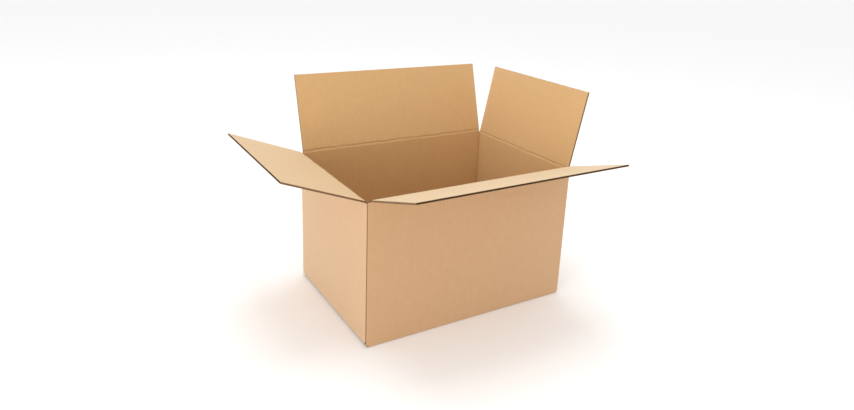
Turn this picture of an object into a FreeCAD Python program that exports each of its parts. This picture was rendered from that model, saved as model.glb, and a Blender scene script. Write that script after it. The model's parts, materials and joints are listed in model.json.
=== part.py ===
import FreeCAD, Part
import os
import re

# Open regular slotted carton of single-wall corrugated board, its four top flaps folded open.
# Millimetres. Origin on the floor at the centre of the outer plan, +X along the length,
# -Y towards the long front wall, +Z up.

doc = FreeCAD.newDocument("carton")

# Driving sizes
sizes = {
    "outerLength": 406,
    "outerWidth": 286,
    "creaseHeight": 252,       # floor to the hinge line of the long flaps
    "boardThickness": 3,
    "linerThickness": 0.4,     # flat facing sheet on each side of the fluted medium
    "mediumThickness": 0.5,
    "flutePitch": 6.5,
    "fluteNarrow": 0.9,        # narrow side of the space between two flutes
    "fluteCloseMargin": 9,     # crushed board beside a score, where the flutes are closed
    "foldRadius": 3.6,         # outside radius of a folded corner
    "slotInset": 4,            # a flap's side edge stands this far inside the corner
    "seamGap": 2,              # between two long flaps where they meet on the middle line
    "shortFlapLength": 142,
    "layerGap": 0.3,           # between two layers of board that lie on each other
    "scoreOffset": 0.1,        # a hinge line stands this far outside its wall's face
    "scoreHalfWidth": 0.35,    # clear space on each side of a hinge line
    "scoreLand": 0.05,         # flat left at the outer edge of a thinned score
    "scoreDrop": 3.4,          # short flaps are scored this much lower than the long ones
    "tabWidth": 35,            # glue tab of the side joint
    "tabTrim": 10,             # the tab is cut back at its top and bottom
    "tabGlueWidth": 25,
    "bottomGlueLength": 60,
    "bottomGlueWidth": 90,
    "bottomGlueInset": 25,     # from an end wall to its glue patches
    "frontOpenAngle": 72,      # degrees outwards from upright, as each flap stands
    "rearOpenAngle": 16,
    "leftOpenAngle": 69,
    "rightOpenAngle": 12,
}

# Sizes that follow from the driving ones
derived = {
    "halfLength": "outerLength / 2",
    "halfWidth": "outerWidth / 2",
    "innerFoldRadius": "foldRadius - boardThickness",
    "bottomFlapLength": "outerWidth / 2 - seamGap / 2",
    "longFlapReach": "outerWidth / 2 - seamGap / 2 + scoreOffset",
    "longWallTop": "creaseHeight - scoreHalfWidth",
    "shortCrease": "creaseHeight - scoreDrop",
    "shortWallTop": "creaseHeight - scoreDrop - scoreHalfWidth",
    "secondLayer": "boardThickness + layerGap",
    "shortWallFoot": "boardThickness + layerGap + foldRadius",
    "tabFoot": "2 * boardThickness + layerGap + tabTrim",
    "tabHeight": "creaseHeight - scoreDrop - scoreHalfWidth - 2 * tabTrim"
                 " - 2 * boardThickness - layerGap",
    "leftWallStart": "boardThickness + layerGap + foldRadius - outerWidth / 2",
    "longFlapWidth": "outerLength - 2 * slotInset",
    "rightFlapWidth": "outerWidth - 2 * slotInset",
    "leftFlapWidth": "outerWidth - boardThickness - layerGap - 2 * slotInset",
    "leftFlapStart": "boardThickness + layerGap + slotInset - outerWidth / 2",
    "scoreCut": "1.5 * boardThickness",
    "fluteWide": "flutePitch - fluteNarrow - 1.6 * mediumThickness",
}

sheet = doc.addObject("Spreadsheet::Sheet", "Sizes")
for row, (alias, value) in enumerate(list(sizes.items()) + list(derived.items()), start=1):
    text = str(value) if alias in sizes else "=" + value
    sheet.set("A%d" % row, alias)
    sheet.set("B%d" % row, text)
    sheet.setAlias("B%d" % row, alias)
doc.recompute()


def formula(words):
    """A formula in plain size names, as the document's objects write it."""
    def cell(match):
        word = match.group(0)
        return "Sizes." + word if word in sizes or word in derived else word
    return re.sub(r"[A-Za-z]+", cell, words)


def bind(obj, **formulas):
    """Ties properties to the sheet; x, y, z and angle belong to the placement."""
    places = {"x": ".Placement.Base.x", "y": ".Placement.Base.y", "z": ".Placement.Base.z",
              "angle": ".Placement.Rotation.Angle"}
    for name, words in formulas.items():
        obj.setExpression(places.get(name, name), formula(words))
    return obj


def block(name, length, width, height, x, y, z, axis=(0, 0, 1), turn=0):
    """A box from one corner, turned about that corner where a turn is given."""
    box = doc.addObject("Part::Box", name)
    box.Placement.Rotation = FreeCAD.Rotation(FreeCAD.Vector(*axis), turn)
    return bind(box, Length=length, Width=width, Height=height, x=x, y=y, z=z)


def fold(name, axis, turn, length, x, y, z):
    """A quarter of a rounded fold, which runs along its axis from the point x, y, z."""
    along = FreeCAD.Vector(*axis)
    lay = FreeCAD.Rotation(FreeCAD.Vector(0, 0, 1), along)
    rounds = []
    for side, radius, sweep in (("Outside", "foldRadius", 90), ("Inside", "innerFoldRadius", 360)):
        rod = doc.addObject("Part::Cylinder", name + side)
        rod.Angle = sweep
        rod.Placement.Rotation = FreeCAD.Rotation(along, turn) * lay
        rounds.append(bind(rod, Radius=radius, Height=length, x=x, y=y, z=z))
    ring = doc.addObject("Part::Cut", name)
    ring.Base, ring.Tool = rounds
    return ring


def fuse(name, pieces):
    joined = doc.addObject("Part::MultiFuse", name)
    joined.Shapes = pieces
    joined.Refine = True
    return joined


def cut(name, base, tool):
    rest = doc.addObject("Part::Cut", name)
    rest.Base = base
    rest.Tool = tool
    rest.Refine = True
    return rest


def carton_walls():
    """Four walls in a ring; the front wall's raw edge laps over the glue tab."""
    upright = (0, 0, 1)
    corner = "shortWallTop - foldRadius"
    short_height = "shortWallTop - shortWallFoot"
    return [
        block("FrontWall", "outerLength - foldRadius", "boardThickness",
              "longWallTop - foldRadius", "-halfLength", "-halfWidth", "foldRadius"),
        block("RearWall", "outerLength - 2 * foldRadius", "boardThickness",
              "longWallTop - foldRadius", "foldRadius - halfLength",
              "halfWidth - boardThickness", "foldRadius"),
        block("RightWall", "boardThickness", "outerWidth - 2 * foldRadius", short_height,
              "halfLength - boardThickness", "foldRadius - halfWidth", "shortWallFoot"),
        block("LeftWall", "boardThickness", "halfWidth - foldRadius - leftWallStart",
              short_height, "-halfLength", "leftWallStart", "shortWallFoot"),
        fold("FrontRightCorner", upright, -90, corner,
             "halfLength - foldRadius", "foldRadius - halfWidth", "foldRadius"),
        fold("RearRightCorner", upright, 0, corner,
             "halfLength - foldRadius", "halfWidth - foldRadius", "foldRadius"),
        fold("RearLeftCorner", upright, 90, corner,
             "foldRadius - halfLength", "halfWidth - foldRadius", "foldRadius"),
        fold("TabFold", upright, 180, short_height,
             "foldRadius - halfLength", "leftWallStart", "shortWallFoot"),
        block("GlueTab", "tabWidth - foldRadius", "boardThickness", "tabHeight",
              "foldRadius - halfLength", "secondLayer - halfWidth", "tabFoot"),
    ]


def carton_bottom():
    """Closed bottom: the short flaps lie inside, and the long ones under them meet."""
    long_depth = "bottomFlapLength - foldRadius"
    short_depth = "shortFlapLength - foldRadius"
    return [
        fold("FrontBottomFold", (1, 0, 0), -90, "longFlapWidth",
             "slotInset - halfLength", "foldRadius - halfWidth", "foldRadius"),
        fold("RearBottomFold", (1, 0, 0), 0, "longFlapWidth",
             "slotInset - halfLength", "halfWidth - foldRadius", "foldRadius"),
        fold("LeftBottomFold", (0, 1, 0), 90, "leftFlapWidth",
             "foldRadius - halfLength", "leftFlapStart", "shortWallFoot"),
        fold("RightBottomFold", (0, 1, 0), 0, "rightFlapWidth",
             "halfLength - foldRadius", "slotInset - halfWidth", "shortWallFoot"),
        block("FrontBottomFlap", "longFlapWidth", long_depth, "boardThickness",
              "slotInset - halfLength", "foldRadius - halfWidth", "0 mm"),
        block("RearBottomFlap", "longFlapWidth", long_depth, "boardThickness",
              "slotInset - halfLength", "seamGap / 2", "0 mm"),
        block("LeftBottomFlap", short_depth, "leftFlapWidth", "boardThickness",
              "foldRadius - halfLength", "leftFlapStart", "secondLayer"),
        block("RightBottomFlap", short_depth, "rightFlapWidth", "boardThickness",
              "halfLength - shortFlapLength", "slotInset - halfWidth", "secondLayer"),
    ]


def wall_scores():
    """Wedges that thin each wall's top on its inner side, so that its flap can fold in."""
    return [
        block("FrontScore", "outerLength", "scoreCut", "scoreCut", "-halfLength",
              "scoreLand - halfWidth", "longWallTop", (1, 0, 0), -45),
        block("RearScore", "outerLength", "scoreCut", "scoreCut", "-halfLength",
              "halfWidth - scoreLand", "longWallTop", (1, 0, 0), 135),
        block("LeftScore", "scoreCut", "halfWidth - foldRadius - leftWallStart", "scoreCut",
              "scoreLand - halfLength", "leftWallStart", "shortWallTop", (0, 1, 0), 45),
        block("RightScore", "scoreCut", "outerWidth - 2 * foldRadius", "scoreCut",
              "halfLength - scoreLand", "foldRadius - halfWidth", "shortWallTop",
              (0, 1, 0), 225),
    ]


def flute_spaces(hinge_axis, inward, width, reach):
    """The open spaces each side of the medium, from the free edge to the crushed score."""
    pitch = sheet.flutePitch
    liner = sheet.linerThickness
    board = sheet.boardThickness
    wide = sheet.fluteWide / 2
    narrow = sheet.fluteNarrow / 2
    start = sheet.fluteCloseMargin
    count = int((width - 2 * wide - board) / pitch) + 1
    prisms = []
    for half_step in range(2 * count - 1):
        middle = (half_step / 2 - (count - 1) / 2) * pitch
        low, high = liner, board - liner - sheet.mediumThickness
        low_half, high_half = wide, narrow
        if half_step % 2:
            low, high = liner + sheet.mediumThickness, board - liner
            low_half, high_half = narrow, wide
        outline = [(middle - low_half, low), (middle + low_half, low),
                   (middle + high_half, high), (middle - high_half, high)]
        corners = []
        for along, depth in outline + outline[:1]:
            across = inward * (sheet.scoreOffset + depth)
            flat = (along, across) if hinge_axis == "X" else (across, along)
            corners.append(FreeCAD.Vector(flat[0], flat[1], start))
        face = Part.Face(Part.makePolygon(corners))
        prisms.append(face.extrude(FreeCAD.Vector(0, 0, reach - start + board)))
    return Part.makeCompound(prisms)


def top_flap(label, hinge_axis, inward, width, open_angle, reach, hinge):
    """One flap, drawn upright on its own hinge line and then turned open about it."""
    near = "scoreOffset" if inward > 0 else "-scoreOffset - boardThickness"
    score = "scoreOffset + scoreLand" if inward > 0 else "-scoreOffset - scoreLand"
    start = "-0.5 * " + width
    if hinge_axis == "X":
        blank = block(label + "Blank", width, "boardThickness", reach + " - scoreHalfWidth",
                      start, near, "scoreHalfWidth")
        wedge = block(label + "Score", width, "scoreCut", "scoreCut", start, score,
                      "scoreHalfWidth", (1, 0, 0), -45 if inward > 0 else 135)
    else:
        blank = block(label + "Blank", "boardThickness", width, reach + " - scoreHalfWidth",
                      near, start, "scoreHalfWidth")
        wedge = block(label + "Score", "scoreCut", width, "scoreCut", score, start,
                      "scoreHalfWidth", (0, 1, 0), 45 if inward > 0 else 225)
    spaces = doc.addObject("Part::Feature", label + "FluteSpaces")
    spaces.Shape = flute_spaces(hinge_axis, inward, getattr(sheet, width),
                                getattr(sheet, reach))
    flap = cut(label + "Board", cut(label + "Scored", blank, wedge), spaces)
    axis = (inward, 0, 0) if hinge_axis == "X" else (0, -inward, 0)
    flap.Placement.Rotation = FreeCAD.Rotation(FreeCAD.Vector(*axis), 45)
    bind(flap, x=hinge[0], y=hinge[1], z=hinge[2], angle=open_angle)
    flap.Label = label
    return flap


def glue_patches():
    """Thin glue films between the lapped layers: the side joint's tab, and the bottom."""
    joint = block("JointGlue", "tabGlueWidth", "layerGap", "tabHeight",
                  "foldRadius - halfLength", "boardThickness - halfWidth", "tabFoot")
    joint.Label = "joint_glue"
    spots = []
    for side, x in (("Left", "bottomGlueInset - halfLength"),
                    ("Right", "halfLength - bottomGlueInset - bottomGlueLength")):
        for place, y in (("Front", "-halfWidth / 2 - bottomGlueWidth / 2"),
                         ("Rear", "halfWidth / 2 - bottomGlueWidth / 2")):
            spots.append(block("BottomGlue" + side + place, "bottomGlueLength",
                               "bottomGlueWidth", "layerGap", x, y, "boardThickness"))
    bottom = doc.addObject("Part::Compound", "BottomGlue")
    bottom.Links = spots
    bottom.Label = "bottom_glue"
    return [joint, bottom]


body = cut("CartonBody", fuse("CartonBoard", carton_walls() + carton_bottom()),
           fuse("WallScores", wall_scores()))
body.Label = "carton_body"

flaps = [
    top_flap("front_flap", "X", 1, "longFlapWidth", "frontOpenAngle", "longFlapReach",
             ("0 mm", "-halfWidth - scoreOffset", "creaseHeight")),
    top_flap("rear_flap", "X", -1, "longFlapWidth", "rearOpenAngle", "longFlapReach",
             ("0 mm", "halfWidth + scoreOffset", "creaseHeight")),
    top_flap("left_flap", "Y", 1, "leftFlapWidth", "leftOpenAngle", "shortFlapLength",
             ("-halfLength - scoreOffset", "leftFlapStart + leftFlapWidth / 2", "shortCrease")),
    top_flap("right_flap", "Y", -1, "rightFlapWidth", "rightOpenAngle", "shortFlapLength",
             ("halfLength + scoreOffset", "0 mm", "shortCrease")),
]

parts = [body] + flaps + glue_patches()
doc.recompute()

for obj in doc.Objects:
    faults = [state for state in obj.State if state in ("Invalid", "Error")]
    if faults:
        raise RuntimeError(obj.Name + " failed: " + ", ".join(faults))
for part in parts:
    if part.Shape.isNull() or not part.Shape.isValid():
        raise RuntimeError(part.Label + " has no valid shape")

os.makedirs("parts", exist_ok=True)
for part in parts:
    part.Shape.exportStep("parts/" + part.Label + ".step")
    box = part.Shape.BoundBox
    print("%-12s solids %d volume %.0f  x %.1f %.1f  y %.1f %.1f  z %.1f %.1f" % (
        part.Label, len(part.Shape.Solids), part.Shape.Volume,
        box.XMin, box.XMax, box.YMin, box.YMax, box.ZMin, box.ZMax))
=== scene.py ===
import json
import math

import bmesh
import bpy
import numpy as np
from mathutils import Matrix, Vector


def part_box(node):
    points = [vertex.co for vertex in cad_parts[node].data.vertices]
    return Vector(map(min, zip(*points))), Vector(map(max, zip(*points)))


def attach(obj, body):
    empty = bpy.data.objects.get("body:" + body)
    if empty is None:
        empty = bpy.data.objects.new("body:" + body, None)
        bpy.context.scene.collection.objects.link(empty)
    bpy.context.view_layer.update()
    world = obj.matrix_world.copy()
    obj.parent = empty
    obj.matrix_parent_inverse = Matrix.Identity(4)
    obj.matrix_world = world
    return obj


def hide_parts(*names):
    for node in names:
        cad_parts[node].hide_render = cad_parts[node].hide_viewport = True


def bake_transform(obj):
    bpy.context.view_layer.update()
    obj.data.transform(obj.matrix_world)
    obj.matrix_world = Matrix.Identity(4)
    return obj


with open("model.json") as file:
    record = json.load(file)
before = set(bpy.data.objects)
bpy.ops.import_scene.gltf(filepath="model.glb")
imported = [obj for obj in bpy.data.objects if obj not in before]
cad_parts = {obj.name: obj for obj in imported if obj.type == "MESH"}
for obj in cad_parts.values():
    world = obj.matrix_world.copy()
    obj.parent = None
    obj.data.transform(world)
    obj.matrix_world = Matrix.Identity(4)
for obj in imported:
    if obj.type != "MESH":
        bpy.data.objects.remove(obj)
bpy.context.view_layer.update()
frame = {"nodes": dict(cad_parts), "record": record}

# Open carton of single-wall kraft corrugated board. Metres, standing on z = 0.

joints = {joint["child"]: joint for joint in frame["record"]["behaviour"]["joints"]}
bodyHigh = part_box("carton_body")[1]
halfLength = bodyHigh[0]
halfWidth = bodyHigh[1]

board = {
    "thickness": 0.003,
    "liner": 0.00042,         # facing sheets
    "medium": 0.00045,        # fluted sheet between them, drawn a little heavy so that it shows
    "flutePitch": 0.0065,
    "fluteDepth": 0.028,      # how far the medium is modelled in from a cut end
    "foldRadius": 0.0036,
    "layerGap": 0.0003,
    "hingeOffset": 0.0001,    # hinge lines stand this far outside the walls
    "ragged": 0.00016,        # unevenness of a cut edge
    "raggedLength": 0.013,    # and its length along the edge
    "raggedReach": 0.004,     # how far in from the edge it reaches
    "webInset": 0.00025,      # the web that closes a cut side lies this far in
    "webDepth": 0.0008,       # and ends this far in
    "webLap": 0.9,            # share of a facing's thickness that the web starts in
    "mediumInset": 0.0006,    # the fluted sheet stops this far from the cut sides
    "waveStations": 14,       # stations for each flute
    "sharpAngle": math.radians(32),
    "flapStep": 0.005,        # stations along a scored panel, and along a plain one
    "plainStep": 0.009,
}


# 0 before 0, 1 after 1, and 3v^2 - 2v^3 between.
def smoothStep(value):
    value = np.clip(value, 0, 1)
    return value * value * (3 - 2 * value)


# Slow unevenness between -1 and 1: a mean of five sines with seeded phases.
def ripple(values, scale, seed):
    phases = np.random.default_rng(seed).uniform(0, 2 * math.pi, 5)
    rates = np.array([0.61, 1.0, 1.47, 2.23, 3.31]) / scale
    waves = np.sin(np.multiply.outer(values, rates) * 2 * math.pi + phases)
    return waves.mean(axis=-1)


# Collects closed slabs of board as arrays and puts them into one mesh object.
class Sheets:
    def __init__(self):
        self.points, self.quads, self.places, self.kinds = [], [], [], []
        self.count = 0

    # A closed slab between two grids (columns x rows x 3) with its four edges closed.
    def slab(self, front, back, place, kinds=(0, 1, 2)):
        columns, rows = front.shape[:2]
        grid = np.arange(columns * rows).reshape(columns, rows) + self.count
        frontQuads = np.stack([grid[:-1, :-1], grid[1:, :-1], grid[1:, 1:], grid[:-1, 1:]], -1)
        backQuads = frontQuads[..., ::-1] + columns * rows
        rim = np.concatenate([grid[:, 0], grid[-1, 1:], grid[-2::-1, -1], grid[0, -2:0:-1]])
        backRim = rim + columns * rows
        nextRim, nextBack = np.roll(rim, -1), np.roll(backRim, -1)
        edgeQuads = np.stack([rim, backRim, nextBack, nextRim], -1)
        for kind, quads in zip(kinds, (frontQuads, backQuads, edgeQuads)):
            quads = quads.reshape(-1, 4)
            self.quads.append(quads)
            self.kinds.append(np.full(len(quads), kind))
        self.points += [front.reshape(-1, 3), back.reshape(-1, 3)]
        self.places += [place.reshape(-1, 2), place.reshape(-1, 2)]
        self.count += 2 * columns * rows

    # The mesh object of all slabs so far, with a UV map of the place on the sheet in metres
    def build(self, name, materials):
        points = np.concatenate(self.points)
        quads = np.concatenate(self.quads)
        mesh = bpy.data.meshes.new(name)
        mesh.vertices.add(len(points))
        mesh.vertices.foreach_set("co", points.astype(np.float32).ravel())
        mesh.loops.add(quads.size)
        mesh.loops.foreach_set("vertex_index", quads.astype(np.int32).ravel())
        mesh.polygons.add(len(quads))
        mesh.polygons.foreach_set("loop_start", np.arange(0, quads.size, 4, dtype=np.int32))
        for material in materials:
            mesh.materials.append(material)
        mesh.polygons.foreach_set("material_index", np.concatenate(self.kinds).astype(np.int32))
        mesh.update(calc_edges=True)
        layer = mesh.uv_layers.new(name="sheetPlace")
        places = np.concatenate(self.places)[quads.ravel()]
        layer.data.foreach_set("uv", places.astype(np.float32).ravel())
        turnOutwards(mesh)
        mesh.polygons.foreach_set("use_smooth", np.ones(len(quads), dtype=bool))
        mesh.set_sharp_from_angle(angle=board["sharpAngle"])
        piece = bpy.data.objects.new(name, mesh)
        bpy.context.scene.collection.objects.link(piece)
        return piece


# Makes every face of a closed slab point outwards
def turnOutwards(mesh):
    work = bmesh.new()
    work.from_mesh(mesh)
    bmesh.ops.recalc_face_normals(work, faces=work.faces)
    work.to_mesh(mesh)
    work.free()
    mesh.validate()


# Evenly spaced stations, at most one step apart.
def spread(low, high, step):
    return np.linspace(low, high, max(2, int(math.ceil((high - low) / step)) + 1))


# A path in a plane that starts upright and turns at its folds. Its direction at distance d is
# (sin a, cos a), where the angle a grows by each bend's turn as a smooth step over that bend's
# width; the path is the running sum of that direction. Gives the distances, the points and the
# angles at the stations.
def foldedPath(start, length, bends, step=0.004, fine=0.0003):
    dense = np.linspace(0, length, 6000)
    angle = np.zeros_like(dense)
    for centre, width, turn in bends:
        angle += turn * smoothStep((dense - centre) / width + 0.5)
    across = np.concatenate([[0], np.cumsum(np.sin((angle[1:] + angle[:-1]) / 2)
                                            * np.diff(dense))]) + start[0]
    upward = np.concatenate([[0], np.cumsum(np.cos((angle[1:] + angle[:-1]) / 2)
                                            * np.diff(dense))]) + start[1]
    stations = [spread(0, length, step)]
    for centre, width, turn in bends:
        stations.append(np.arange(centre - width * 1.2, centre + width * 1.2, fine))
    distance = np.unique(np.round(np.clip(np.concatenate(stations), 0, length), 6))
    return (distance, np.interp(distance, dense, across),
            np.interp(distance, dense, upward), np.interp(distance, dense, angle))


# One panel of board: a profile in the plane across the hinge, carried along the hinge.
# placed(s, out, up) gives the row-frame point of station s along the hinge. The outer face
# follows the path; the inner face lies the board's thickness from it along the normal, less a
# pressed groove, depth * exp(-(d / width)^2), at the score.
def bend(sheets, placed, path, span, score, seed):
    distance, across, upward, angle = path
    thick, liner = board["thickness"], board["liner"]
    along = spread(span[0], span[1], board["flapStep"] if score else board["plainStep"])
    press = np.zeros((len(along), len(distance)))
    ridge = np.zeros_like(press)
    if score:
        drift = crease["wander"] * ripple(along, crease["wanderLength"], seed + 2)[:, None]
        force = 1 + crease["uneven"] * ripple(along, crease["wanderLength"], seed + 3)[:, None]
        fall = distance - score["at"] - drift
        press = score["depth"] * force * np.exp(-(fall / score["width"]) ** 2)
        ridge = score["bead"] * force * np.exp(-(fall / score["beadWidth"]) ** 2)
    weight = smoothStep((distance - distance[-1]) / board["raggedReach"] + 1)
    reach = [ripple(along, board["raggedLength"], seed + k)[:, None] * weight * board["ragged"]
             for k in (0, 1)]
    place = np.stack(np.broadcast_arrays(along[:, None], distance[None, :]), -1)

    def face(depth, push):
        out = across - np.cos(angle) * depth + np.sin(angle) * push
        up = upward + np.sin(angle) * depth + np.cos(angle) * push
        return placed(along[:, None] + 0 * out, out, up)

    sheets.slab(face(-ridge, reach[0]), face(liner - ridge, reach[0]), place, (0, 2, 2))
    sheets.slab(face(thick - press - liner, reach[1]), face(thick - press, reach[1]), place,
                (2, 1, 2))
    # Side webs close the board along its two cut sides
    for edge, inwards, row in ((span[0], 1, 0), (span[1], -1, -1)):
        stations = edge + inwards * np.array([[board["webInset"]], [board["webDepth"]]])
        lap = liner * board["webLap"]
        depth = np.stack([np.full_like(distance, lap), thick - press[row] - lap])
        sideOut = across - np.cos(angle) * depth
        sideUp = upward + np.sin(angle) * depth
        front = placed(stations[0] + 0 * sideOut, sideOut, sideUp)
        back = placed(stations[1] + 0 * sideOut, sideOut, sideUp)
        place = np.stack(np.broadcast_arrays(stations[0] + 0 * sideOut,
                                             distance[None, :] + 0 * sideOut), -1)
        sheets.slab(front, back, place, (2, 2, 2))
    addMedium(sheets, placed, path, span)


# The fluted sheet near a cut end: height = middle + amplitude * sin(2 pi s / pitch).
def addMedium(sheets, placed, path, span):
    distance, across, upward, angle = path
    thick, liner, sheet = board["thickness"], board["liner"], board["medium"]
    pitch = board["flutePitch"]
    along = np.arange(span[0] + board["mediumInset"], span[1] - board["mediumInset"],
                      pitch / board["waveStations"])
    back = np.linspace(board["fluteDepth"], 0.0003, 4)
    length = distance[-1]
    out = np.interp(length - back, distance, across)
    up = np.interp(length - back, distance, upward)
    tilt = np.interp(length - back, distance, angle)
    amplitude = (thick - 2 * liner - sheet) / 2
    wave = np.sin(2 * math.pi * along / pitch + 0.25 * ripple(along, 0.09, 5))
    middle = thick / 2 + amplitude * wave[:, None]

    def face(side):
        depth = middle + side * sheet / 2
        return placed(along[:, None] + 0 * depth, out - np.cos(tilt) * depth,
                      up + np.sin(tilt) * depth)

    place = np.stack(np.broadcast_arrays(along[:, None], (length - back)[None, :]), -1)
    sheets.slab(face(-1), face(1), place, (2, 2, 2))


# The four sides: the way each one's own (along, outwards, height) goes into the row frame
def onFront(along, out, up):
    return np.stack(np.broadcast_arrays(along, -halfWidth - out, up), -1)


def onRear(along, out, up):
    return np.stack(np.broadcast_arrays(along, halfWidth + out, up), -1)


def onLeft(along, out, up):
    return np.stack(np.broadcast_arrays(-halfLength - out, along, up), -1)


def onRight(along, out, up):
    return np.stack(np.broadcast_arrays(halfLength + out, along, up), -1)


flapSides = {
    "front_flap": {"placed": onFront, "axis": 0, "seed": 11},
    "rear_flap": {"placed": onRear, "axis": 0, "seed": 23},
    "left_flap": {"placed": onLeft, "axis": 1, "seed": 37},
    "right_flap": {"placed": onRight, "axis": 1, "seed": 53},
}
for node, side in flapSides.items():
    low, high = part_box(node)
    joint = joints[node]
    side["hingeHeight"] = joint["pos_m"][2]
    side["open"] = math.radians(-joint["range_deg"][0] - 90)    # folded shut is 90 degrees inwards
    side["span"] = (low[side["axis"]], high[side["axis"]])
    rise = high[2] - side["hingeHeight"]
    inner = board["hingeOffset"] + board["thickness"]
    side["reach"] = (rise - inner * math.sin(side["open"])) / math.cos(side["open"])

crease = {
    "lip": 0.008,             # a flap's piece reaches this far down its wall
    "bendWidth": 0.0034,      # length of sheet that turns
    "bendReach": 0.0036,      # to each side of the hinge line
    "depth": 0.00105,         # pressed groove on the inner face
    "width": 0.0017,
    "bead": 0.00021,          # raised line on the outer face
    "beadWidth": 0.00119,
    "wander": 0.0011,         # how far the score strays from its line
    "wanderLength": 0.085,
    "uneven": 0.5,            # how much its depth varies along it
}


# A top flap with the strip of wall under its crease: an upright path that turns at the hinge
def makeFlap(node, materials):
    side = flapSides[node]
    lip = crease["lip"]
    path = foldedPath((0, side["hingeHeight"] - lip), lip + side["reach"],
                      [(lip, crease["bendWidth"], side["open"])])
    score = {"at": lip, "depth": crease["depth"], "width": crease["width"],
             "bead": crease["bead"], "beadWidth": crease["beadWidth"]}
    sheets = Sheets()
    bend(sheets, side["placed"], path, side["span"], score, side["seed"])
    piece = sheets.build(node + "_board", materials)
    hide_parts(node)
    middle = sum(side["span"]) / 2
    for at in (lip - crease["bendReach"], lip + crease["bendReach"]):
        out = np.interp(at, path[0], path[1])
        up = np.interp(at, path[0], path[2])
        tuple(float(v) for v in side["placed"](middle, out, up))
    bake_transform(piece)
    return piece


walls = {
    "bow": 0.0011,            # how far a wall stands out at its middle
    "cornerTop": 0.2482,      # bottom of the slots between flaps
    "tabWidth": 0.035,
    "tabFoot": 0.0163,
    "tabTop": 0.2382,
    "bottomBend": 0.0052,     # length of sheet that turns at the bottom folds
    "bendPlace": 0.003224,    # and the middle of the turn, down the sheet
    "seam": 0.001,            # half the gap between the long bottom flaps
    "shortFlap": 0.142,
    "cornerPress": 0.0015,    # groove of the score inside an upright fold
    "step": 0.012,            # stations along a wall
}


# Down the foot of a wall, round a quarter turn inwards and along the bottom. Its tail is
# straight, so the length is put right by what the first try fell short.
def bottomPath(reach):
    turn = [(walls["bendPlace"], walls["bottomBend"], -math.pi / 2)]
    length = reach
    for _ in range(2):
        path = foldedPath((0, 0), length, turn)
        length += reach + path[1][-1]
    return path, float(path[2][-1])


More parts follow.
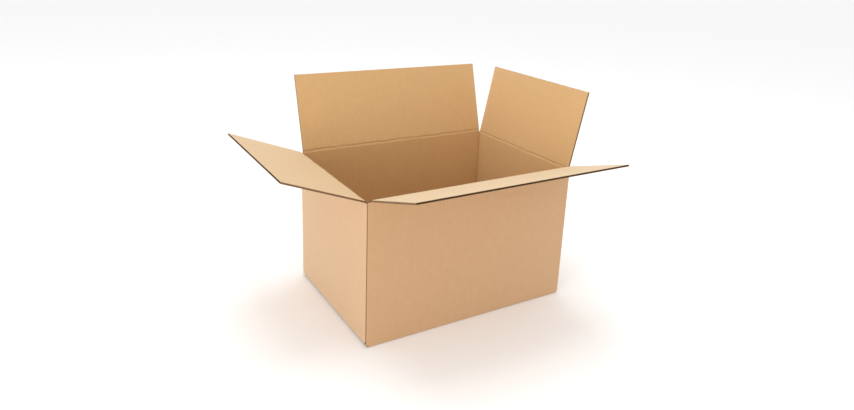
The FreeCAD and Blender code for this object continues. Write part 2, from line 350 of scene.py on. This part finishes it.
# The walls as one sheet: a plan path with a grid of heights on it. A station of the path holds
# its outer point, its inward normal and its foot and top; the bow is outwards, bow * sin(pi a)
# * sin(pi z / top), with a the share along the wall.
def wallRing(sheets, longFoot, shortFoot):
    thick, radius, gap = board["thickness"], board["foldRadius"], board["layerGap"]
    lip = crease["lip"]
    longLip = flapSides["front_flap"]["hingeHeight"] - lip
    shortLip = flapSides["left_flap"]["hingeHeight"] - lip
    longTop = flapSides["front_flap"]["hingeHeight"] - 0.0004
    near = 1e-7
    parts = []

    # A row for each station: point, inward normal, foot, top, bow, place along and pressed groove
    def addRows(x, y, normalX, normalY, foot, top, bow, along, press):
        parts.append(np.stack(np.broadcast_arrays(x, y, normalX, normalY, foot, top, bow, along,
                                                  press), -1))

    # A straight wall. Where a flap starts or ends the station is doubled, and the top steps
    def straight(start, end, normal, flap, foot, lipTop, cornerTop, bow):
        axis = 0 if start[0] != end[0] else 1
        steps = spread(0, abs(end[axis] - start[axis]), walls["step"])
        run = np.sign(end[axis] - start[axis])
        values = steps
        top = np.full(len(values), cornerTop)
        if flap:
            marks = np.sort(np.abs(np.array(flapSides[flap]["span"]) - start[axis]))
            values = np.unique(np.concatenate([steps, marks]))
            first = np.abs(values - marks[0]) < near
            last = np.abs(values - marks[1]) < near
            under = (values > marks[0] - near) & (values < marks[1] + near)
            index = np.repeat(np.arange(len(values)), 1 + first + last)
            again = np.diff(index, prepend=-1) == 0
            outside = (first[index] & ~again) | (last[index] & again)
            top = np.where(under[index] & ~outside, lipTop, cornerTop)
            values = values[index]
        point = [start[0], start[1]]
        point[axis] = start[axis] + run * values
        addRows(point[0], point[1], normal[0], normal[1], foot, top,
                bow * np.sin(math.pi * values / steps[-1]), point[axis], 0)

    # A rounded fold, with the groove press * sin(2 a)^4 inside it, a being the angle turned
    def corner(centre, turn, foot, top):
        angle = np.linspace(turn, turn + math.pi / 2, 7)
        wayX = np.cos(angle)
        wayY = np.sin(angle)
        press = walls["cornerPress"] * np.sin(2 * (angle - turn)) ** 4
        addRows(centre[0] + radius * wayX, centre[1] + radius * wayY, -wayX, -wayY, foot, top,
                0, 0, press)

    high = walls["cornerTop"]
    leftStart = -halfWidth + thick + gap + radius
    straight((-halfLength, -halfWidth), (halfLength - radius, -halfWidth), (0, 1),
             "front_flap", longFoot, longLip, longTop, walls["bow"])
    corner((halfLength - radius, -halfWidth + radius), -math.pi / 2, longFoot, high)
    straight((halfLength, -halfWidth + radius), (halfLength, halfWidth - radius), (-1, 0),
             "right_flap", shortFoot, shortLip, high, walls["bow"])
    corner((halfLength - radius, halfWidth - radius), 0, longFoot, high)
    straight((halfLength - radius, halfWidth), (-halfLength + radius, halfWidth), (0, -1),
             "rear_flap", longFoot, longLip, longTop, walls["bow"])
    corner((-halfLength + radius, halfWidth - radius), math.pi / 2, longFoot, high)
    straight((-halfLength, halfWidth - radius), (-halfLength, leftStart), (1, 0),
             "left_flap", shortFoot, shortLip, high, walls["bow"])
    corner((-halfLength + radius, leftStart), math.pi, shortFoot, high)
    straight((-halfLength + radius, leftStart - radius),
             (-halfLength + walls["tabWidth"], leftStart - radius), (0, 1),
             None, walls["tabFoot"], walls["tabTop"], walls["tabTop"], 0)

    x, y, normalX, normalY, foot, top, bow, along, press = (
        np.concatenate(parts).T[:, :, None])
    share = np.linspace(0, 1, 15)[None, :]
    height = foot + (top - foot) * share
    out = bow * np.sin(math.pi * np.clip(height / shortLip, 0, 1))

    def face(depth):
        inwards = depth - out
        return np.stack([x + normalX * inwards, y + normalY * inwards, height], -1)

    place = np.stack(np.broadcast_arrays(along, height), -1)
    sheets.slab(face(0), face(thick - press), place, (0, 1, 2))


# The walls and the four bottom flaps, the long ones under the short ones
def makeCarton(materials):
    second = board["thickness"] + board["layerGap"]
    longPath, longDrop = bottomPath(halfWidth - walls["seam"])
    shortPath, shortDrop = bottomPath(walls["shortFlap"])
    sheets = Sheets()
    wallRing(sheets, longDrop, shortDrop + second)
    for node, path, foot, seed in (("front_flap", longPath, longDrop, 3),
                                   ("rear_flap", longPath, longDrop, 5),
                                   ("left_flap", shortPath, shortDrop + second, 7),
                                   ("right_flap", shortPath, shortDrop + second, 9)):
        side = flapSides[node]

        def under(along, out, up, side=side, foot=foot):
            return side["placed"](along, out, foot - up)

        bend(sheets, under, path, side["span"], None, seed)
    piece = sheets.build("carton_board", materials)
    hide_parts("carton_body")
    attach(piece, "carton")
    return piece


# Materials
# An sRGB hex colour as linear red, green, blue and full alpha.
def linear(hexColour):
    parts = [int(hexColour[i:i + 2], 16) / 255 for i in (1, 3, 5)]
    return [p / 12.92 if p <= 0.04045 else ((p + 0.055) / 1.055) ** 2.4 for p in parts] + [1]


# Adds a node; links give its inputs, each a value or another node's output.
def addNode(tree, kind, links=None, **settings):
    node = tree.nodes.new("ShaderNode" + kind)
    for name, value in settings.items():
        setattr(node, name, value)
    for socket, value in (links or {}).items():
        if isinstance(value, bpy.types.NodeSocket):
            tree.links.new(value, node.inputs[socket])
        else:
            node.inputs[socket].default_value = value
    return node


kraft = {
    "outerLiner": {"base": "#c1966a", "fibre": "#b98e62", "pale": "#c49a6e"},
    "innerLiner": {"base": "#caa069", "fibre": "#c29862", "pale": "#cda46e"},
    "cutEdge": {"base": "#6f4f2e", "fibre": "#583c21", "pale": "#7a5936"},
    "cloudSize": 0.012,       # cloudy formation of the paper
    "fibreSize": 0.0016,      # drawn coarser than real fibres so that it shows
    "washboard": 0.00003,     # height of the flutes that show through a facing
    "grain": 0.00004,
    "fibreStretch": 0.28,     # a fibre's width over its length
    "fibreStrength": 0.55,
    "washPaintedShade": 0.98,        # painted shade: how much darker the washboard's hollows are painted
}


# Unbleached kraft linerboard: matt, brown, cloudy, with short darker fibres lying along the
# paper machine's direction, and the flutes faintly telegraphed through the facing, their hollows in
# painted shade.
def kraftPaper(name, colours, fluted):
    material = bpy.data.materials.new(name)
    material.use_nodes = True
    tree = material.node_tree
    tree.nodes.clear()
    output = addNode(tree, "OutputMaterial")
    coords = addNode(tree, "TexCoord")
    place = addNode(tree, "UVMap", uv_map="sheetPlace")
    clouds = addNode(tree, "TexNoise", {"Vector": coords.outputs["Object"],
                                        "Scale": 1 / kraft["cloudSize"], "Detail": 3.0,
                                        "Roughness": 0.55})
    size = 1 / kraft["fibreSize"]
    lay = addNode(tree, "Mapping", {"Vector": place.outputs["UV"],
                                    "Scale": (size * kraft["fibreStretch"], size, 1)})
    fibres = addNode(tree, "TexNoise", {"Vector": lay.outputs["Vector"], "Scale": 1.0,
                                        "Detail": 4.0, "Roughness": 0.65})
    cloudShare = addNode(tree, "MapRange", {"Value": clouds.outputs["Fac"], "From Min": 0.3,
                                            "From Max": 0.7})
    fibreShare = addNode(tree, "MapRange", {"Value": fibres.outputs["Fac"], "From Min": 0.5,
                                            "From Max": 0.78})
    tone = addNode(tree, "Mix", {"Factor": cloudShare.outputs["Result"]}, data_type="RGBA")
    tone.inputs[6].default_value = linear(colours["base"])
    tone.inputs[7].default_value = linear(colours["pale"])
    soft = addNode(tree, "Math", {0: fibreShare.outputs["Result"], 1: kraft["fibreStrength"]},
                   operation="MULTIPLY")
    flecked = addNode(tree, "Mix", {"Factor": soft.outputs["Value"]}, data_type="RGBA")
    tree.links.new(tone.outputs[2], flecked.inputs[6])
    flecked.inputs[7].default_value = linear(colours["fibre"])
    bumpInput = addNode(tree, "Bump", {"Height": fibres.outputs["Fac"], "Strength": 0.5,
                                       "Distance": kraft["grain"]})
    colour = flecked.outputs[2]
    if fluted:
        parts = addNode(tree, "SeparateXYZ", {"Vector": place.outputs["UV"]})
        phase = addNode(tree, "Math", {0: parts.outputs["X"],
                                       1: 2 * math.pi / board["flutePitch"]},
                        operation="MULTIPLY")
        wave = addNode(tree, "Math", {0: phase.outputs["Value"]}, operation="SINE")
        bumpInput = addNode(tree, "Bump", {"Height": wave.outputs["Value"], "Strength": 1.0,
                                           "Distance": kraft["washboard"],
                                           "Normal": bumpInput.outputs["Normal"]})
        # Painted shade: the colour is darkened in the washboard's hollows, where shade would fall
        hollowPaintedShade = addNode(tree, "MapRange", {"Value": wave.outputs["Value"], "From Min": -1.0,
                                           "From Max": 1.0, "To Min": kraft["washPaintedShade"], "To Max": 1.0})
        paintedShadeColour = addNode(tree, "Mix", {"Factor": 1.0}, data_type="RGBA", blend_type="MULTIPLY")
        tree.links.new(colour, paintedShadeColour.inputs[6])
        tree.links.new(hollowPaintedShade.outputs["Result"], paintedShadeColour.inputs[7])
        colour = paintedShadeColour.outputs[2]
    surface = addNode(tree, "BsdfPrincipled", {"Base Color": colour, "Roughness": 0.66,
                                               "Specular IOR Level": 0.5,
                                               "Sheen Weight": 0.55 if fluted else 0.0,
                                               "Sheen Roughness": 0.5,
                                               "Sheen Tint": (1, 1, 0.86, 1),
                                               "Normal": bumpInput.outputs["Normal"]})
    tree.links.new(surface.outputs["BSDF"], output.inputs["Surface"])
    return material


adhesive = {"dark": "#d8c79c", "light": "#e8dcb8", "clouds": 120.0}    # clouds to a metre


# Dried hot-melt adhesive: a cloudy cream film with a slight sheen.
def hotMelt():
    material = bpy.data.materials.new("hotMeltAdhesive")
    material.use_nodes = True
    tree = material.node_tree
    tree.nodes.clear()
    output = addNode(tree, "OutputMaterial")
    coords = addNode(tree, "TexCoord")
    clouds = addNode(tree, "TexNoise", {"Vector": coords.outputs["Object"], "Scale": adhesive["clouds"],
                                        "Detail": 2.0})
    tone = addNode(tree, "Mix", {"Factor": clouds.outputs["Fac"]}, data_type="RGBA")
    tone.inputs[6].default_value = linear(adhesive["dark"])
    tone.inputs[7].default_value = linear(adhesive["light"])
    surface = addNode(tree, "BsdfPrincipled", {"Base Color": tone.outputs[2],
                                               "Roughness": 0.45})
    tree.links.new(surface.outputs["BSDF"], output.inputs["Surface"])
    return material


outer = kraftPaper("kraftOuterLiner", kraft["outerLiner"], True)
inner = kraftPaper("kraftInnerLiner", kraft["innerLiner"], True)
cut = kraftPaper("kraftCutEdge", kraft["cutEdge"], False)
papers = [outer, inner, cut]
glue = hotMelt()
for node in ("joint_glue", "bottom_glue"):
    cadNode = frame["nodes"][node]
    cadNode.data.materials.clear()
    cadNode.data.materials.append(glue)
print("materials done")

makeCarton(papers)
print("carton done")
for node in flapSides:
    makeFlap(node, papers)
print("flaps done")

# Floor, light and camera
stage = {
    "floor": "#fbfbfb",
    "floorReach": 60.0,
    "floorLevel": -0.0003,    # just under the board, so that the two faces don't coincide
    "sky": 0.97,
    "lamps": {"key": {"power": 24, "place": (-2.4, -1.2, 0.6), "size": 1.1},
              "top": {"power": 16, "place": (0, 0.15, 2.3), "size": 1.2}},
}


# A wide plain sheet, far enough that its rim stays out of sight
def makeFloor():
    mesh = bpy.data.meshes.new("floor")
    reach = stage["floorReach"]
    level = stage["floorLevel"]
    mesh.from_pydata([(-reach, -reach, level), (reach, -reach, level), (reach, reach, level),
                      (-reach, reach, level)], [], [(0, 1, 2, 3)])
    floor = bpy.data.objects.new("floor", mesh)
    bpy.context.scene.collection.objects.link(floor)
    material = bpy.data.materials.new("paleFloor")
    material.use_nodes = True
    shader = material.node_tree.nodes["Principled BSDF"]
    shader.inputs["Base Color"].default_value = linear(stage["floor"])
    shader.inputs["Roughness"].default_value = 0.95
    mesh.materials.append(material)


# An even white sky, a soft lamp from the left and one overhead
def makeLights():
    # Plain sRGB, so that the floor comes out near white and the browns keep their colour
    bpy.context.scene.view_settings.view_transform = "Standard"
    world = bpy.data.worlds.new("softStudio")
    world.use_nodes = True
    background = world.node_tree.nodes["Background"]
    background.inputs["Color"].default_value = (1, 1, 1, 1)
    background.inputs["Strength"].default_value = stage["sky"]
    bpy.context.scene.world = world
    for name, lamp in stage["lamps"].items():
        light = bpy.data.lights.new(name, "AREA")
        light.energy = lamp["power"]
        light.size = lamp["size"]
        holder = bpy.data.objects.new(name, light)
        holder.location = lamp["place"]
        aim = Vector((0, 0, 0.15)) - holder.location
        holder.rotation_euler = aim.to_track_quat("-Z", "Y").to_euler()
        bpy.context.scene.collection.objects.link(holder)


camera = {
    "place": (-0.6129, -0.9794, 0.6194),
    "azimuth": -31.365,
    "elevation": 16.846,
    "roll": 2.291,
    "focalPixels": 661.41,
    "centre": (427.0, 150.0),
    "frame": (854, 410),
}


# A camera that looks back along its azimuth and elevation, turned by its roll.
def makeCamera():
    azimuth, elevation, roll = (math.radians(camera[k]) for k in ("azimuth", "elevation", "roll"))
    back = Vector((math.sin(azimuth) * math.cos(elevation),
                   -math.cos(azimuth) * math.cos(elevation), math.sin(elevation)))
    right = (-back).cross(Vector((0, 0, 1))).normalized()
    up = right.cross(-back)
    turnedRight = math.cos(roll) * right + math.sin(roll) * up
    turnedUp = -math.sin(roll) * right + math.cos(roll) * up
    data = bpy.data.cameras.new("photoCamera")
    data.sensor_width = 36
    data.lens = camera["focalPixels"] / camera["frame"][0] * data.sensor_width
    data.shift_x = (camera["frame"][0] / 2 - camera["centre"][0]) / camera["frame"][0]
    data.shift_y = (camera["centre"][1] - camera["frame"][1] / 2) / camera["frame"][0]
    view = bpy.data.objects.new("photoCamera", data)
    turn = Matrix((turnedRight, turnedUp, back)).transposed().to_4x4()
    view.matrix_world = Matrix.Translation(Vector(camera["place"])) @ turn
    bpy.context.scene.collection.objects.link(view)
    bpy.context.scene.camera = view


makeFloor()
makeLights()
makeCamera()
print("stage done")

bpy.context.view_layer.update()
